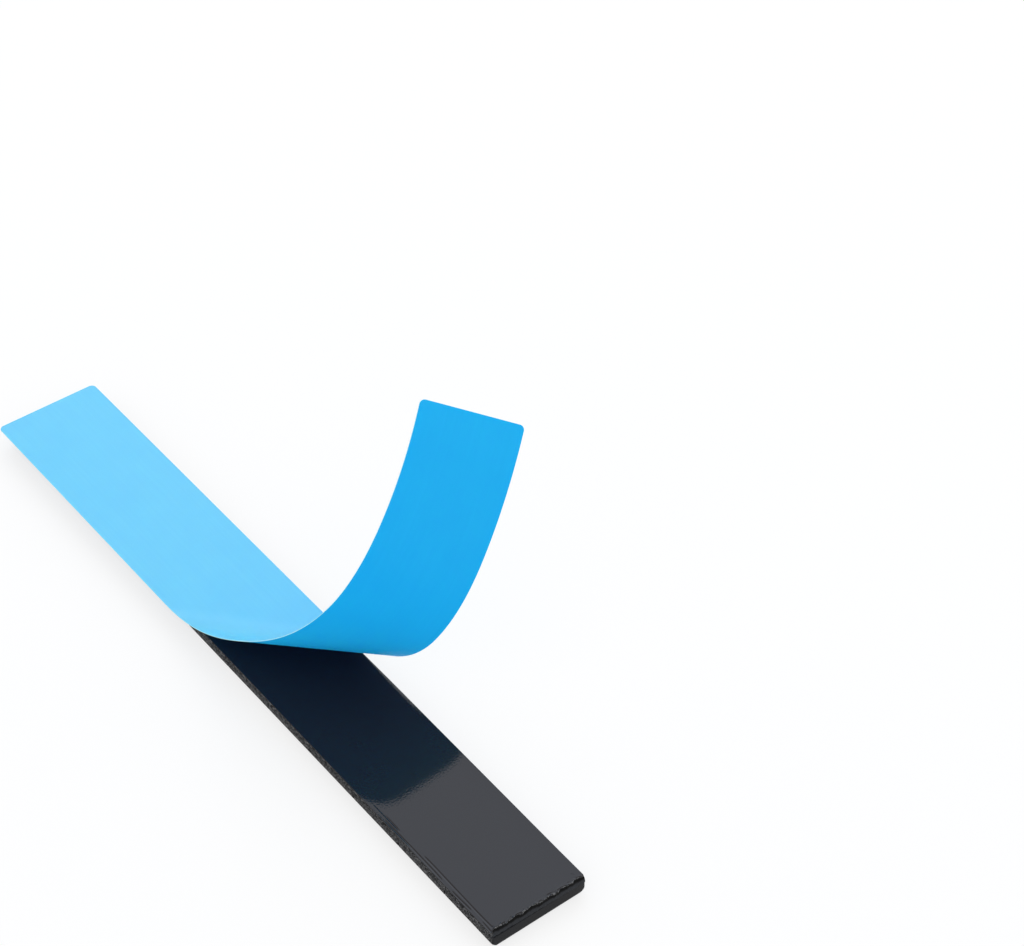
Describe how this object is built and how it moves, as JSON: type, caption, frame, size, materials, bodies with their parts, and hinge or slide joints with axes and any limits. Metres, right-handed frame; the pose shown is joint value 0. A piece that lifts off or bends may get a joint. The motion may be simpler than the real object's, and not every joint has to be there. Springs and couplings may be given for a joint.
{
  "type": "adhesive wheel balance weight strip",
  "caption": "Flat strip of coated steel balance weights on foam tape, adhesive side up, with its blue release film half peeled and curling up.",
  "frame": {"origin": "middle of the adhesive face, on the upper side of the foam tape", "axes": "+X along the strip, from the end that the film covers to the bare end; +Y across the strip, towards the side the free film leans over; +Z out of the adhesive face, away from the steel"},
  "size_m": [0.1532, 0.0544, 0.0511],
  "materials": {
    "coated_steel": "satin black coating",
    "foam_tape": "black foam with a glossy adhesive face",
    "release_film": "smooth blue film"
  },
  "bodies": {
    "root": {"segment_01": "coated_steel", "segment_02": "coated_steel", "segment_03": "coated_steel", "segment_04": "coated_steel", "segment_05": "coated_steel", "segment_06": "coated_steel", "segment_07": "coated_steel", "segment_08": "coated_steel", "segment_09": "coated_steel", "segment_10": "coated_steel", "segment_11": "coated_steel", "segment_12": "coated_steel", "foam_tape": "foam_tape", "release_liner": "release_film"}
  },
  "joints": []
}
